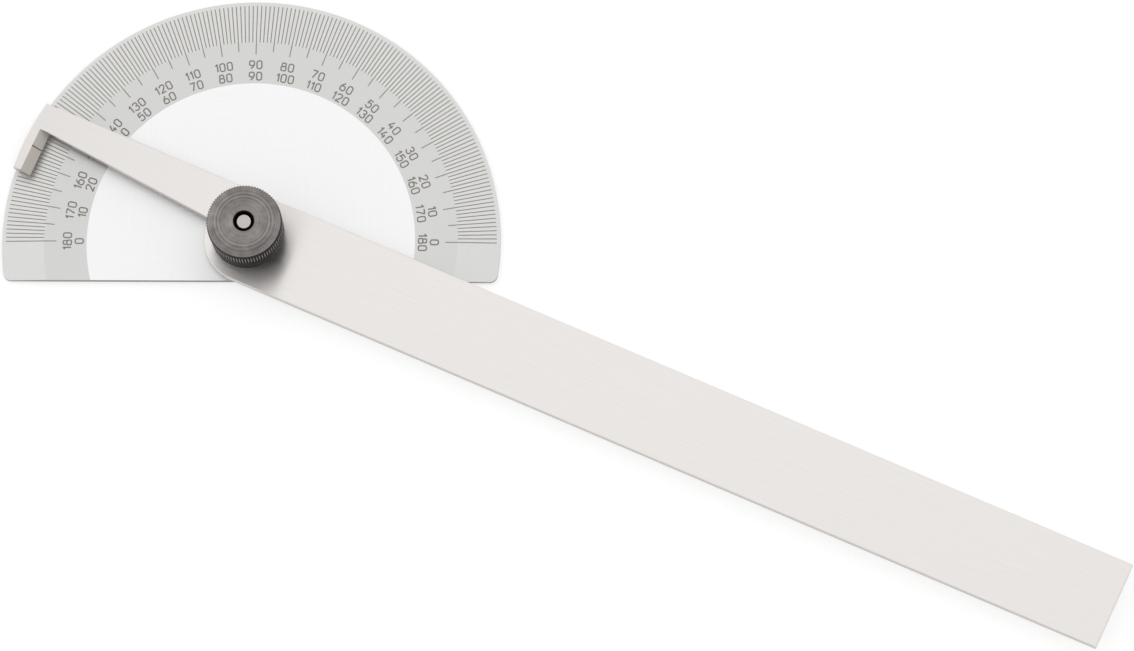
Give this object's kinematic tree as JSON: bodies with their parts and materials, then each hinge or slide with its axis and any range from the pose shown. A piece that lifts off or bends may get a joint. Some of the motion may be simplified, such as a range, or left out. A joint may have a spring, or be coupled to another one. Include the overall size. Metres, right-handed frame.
{
  "type": "bevel protractor",
  "caption": "Half-round steel head with a degree scale and a long straight blade that swings on a central stud, clamped by a knurled nut.",
  "frame": {"origin": "pivot axis, in the head's flat rear face", "axes": "+X along the base edge towards the zero line, +Y towards the ninety line, +Z out of the face that carries the scale"},
  "size_m": [0.1811, 0.1062, 0.0136],
  "materials": {
    "head_steel": "matt chromed, the inner disc finely brushed",
    "blade_steel": "ground along its length, satin",
    "stud_steel": "turned, bright",
    "washer_steel": "bright, lightly oiled",
    "blackened_steel": "turned and blackened steel, knurled"
  },
  "bodies": {
    "head": {"protractor_plate": "head_steel", "pivot_stud": "stud_steel", "spacer_washer": "washer_steel"},
    "blade": {"pointer_blade": "blade_steel", "spring_washer": "washer_steel"},
    "clamp": {"clamp_washer": "washer_steel"},
    "nut": {"knurled_nut": "blackened_steel"}
  },
  "joints": [
    {"name": "blade_swing", "type": "hinge", "parent": "head", "child": "blade", "pos_m": [0, 0, 0.0021], "axis": [0, 0, 1], "continuous": true},
    {"name": "nut_rise", "type": "slide", "parent": "head", "child": "clamp", "axis": [0, 0, 1], "range_m": [0, 0.0015]},
    {"name": "nut_turn", "type": "hinge", "parent": "clamp", "child": "nut", "pos_m": [0, 0, 0.005], "axis": [0, 0, 1], "range_deg": [0, 1080]}
  ],
  "couplings": [
    {"joint": "nut_rise", "follows": "nut_turn", "m_per_rad": 0.000079576}
  ]
}
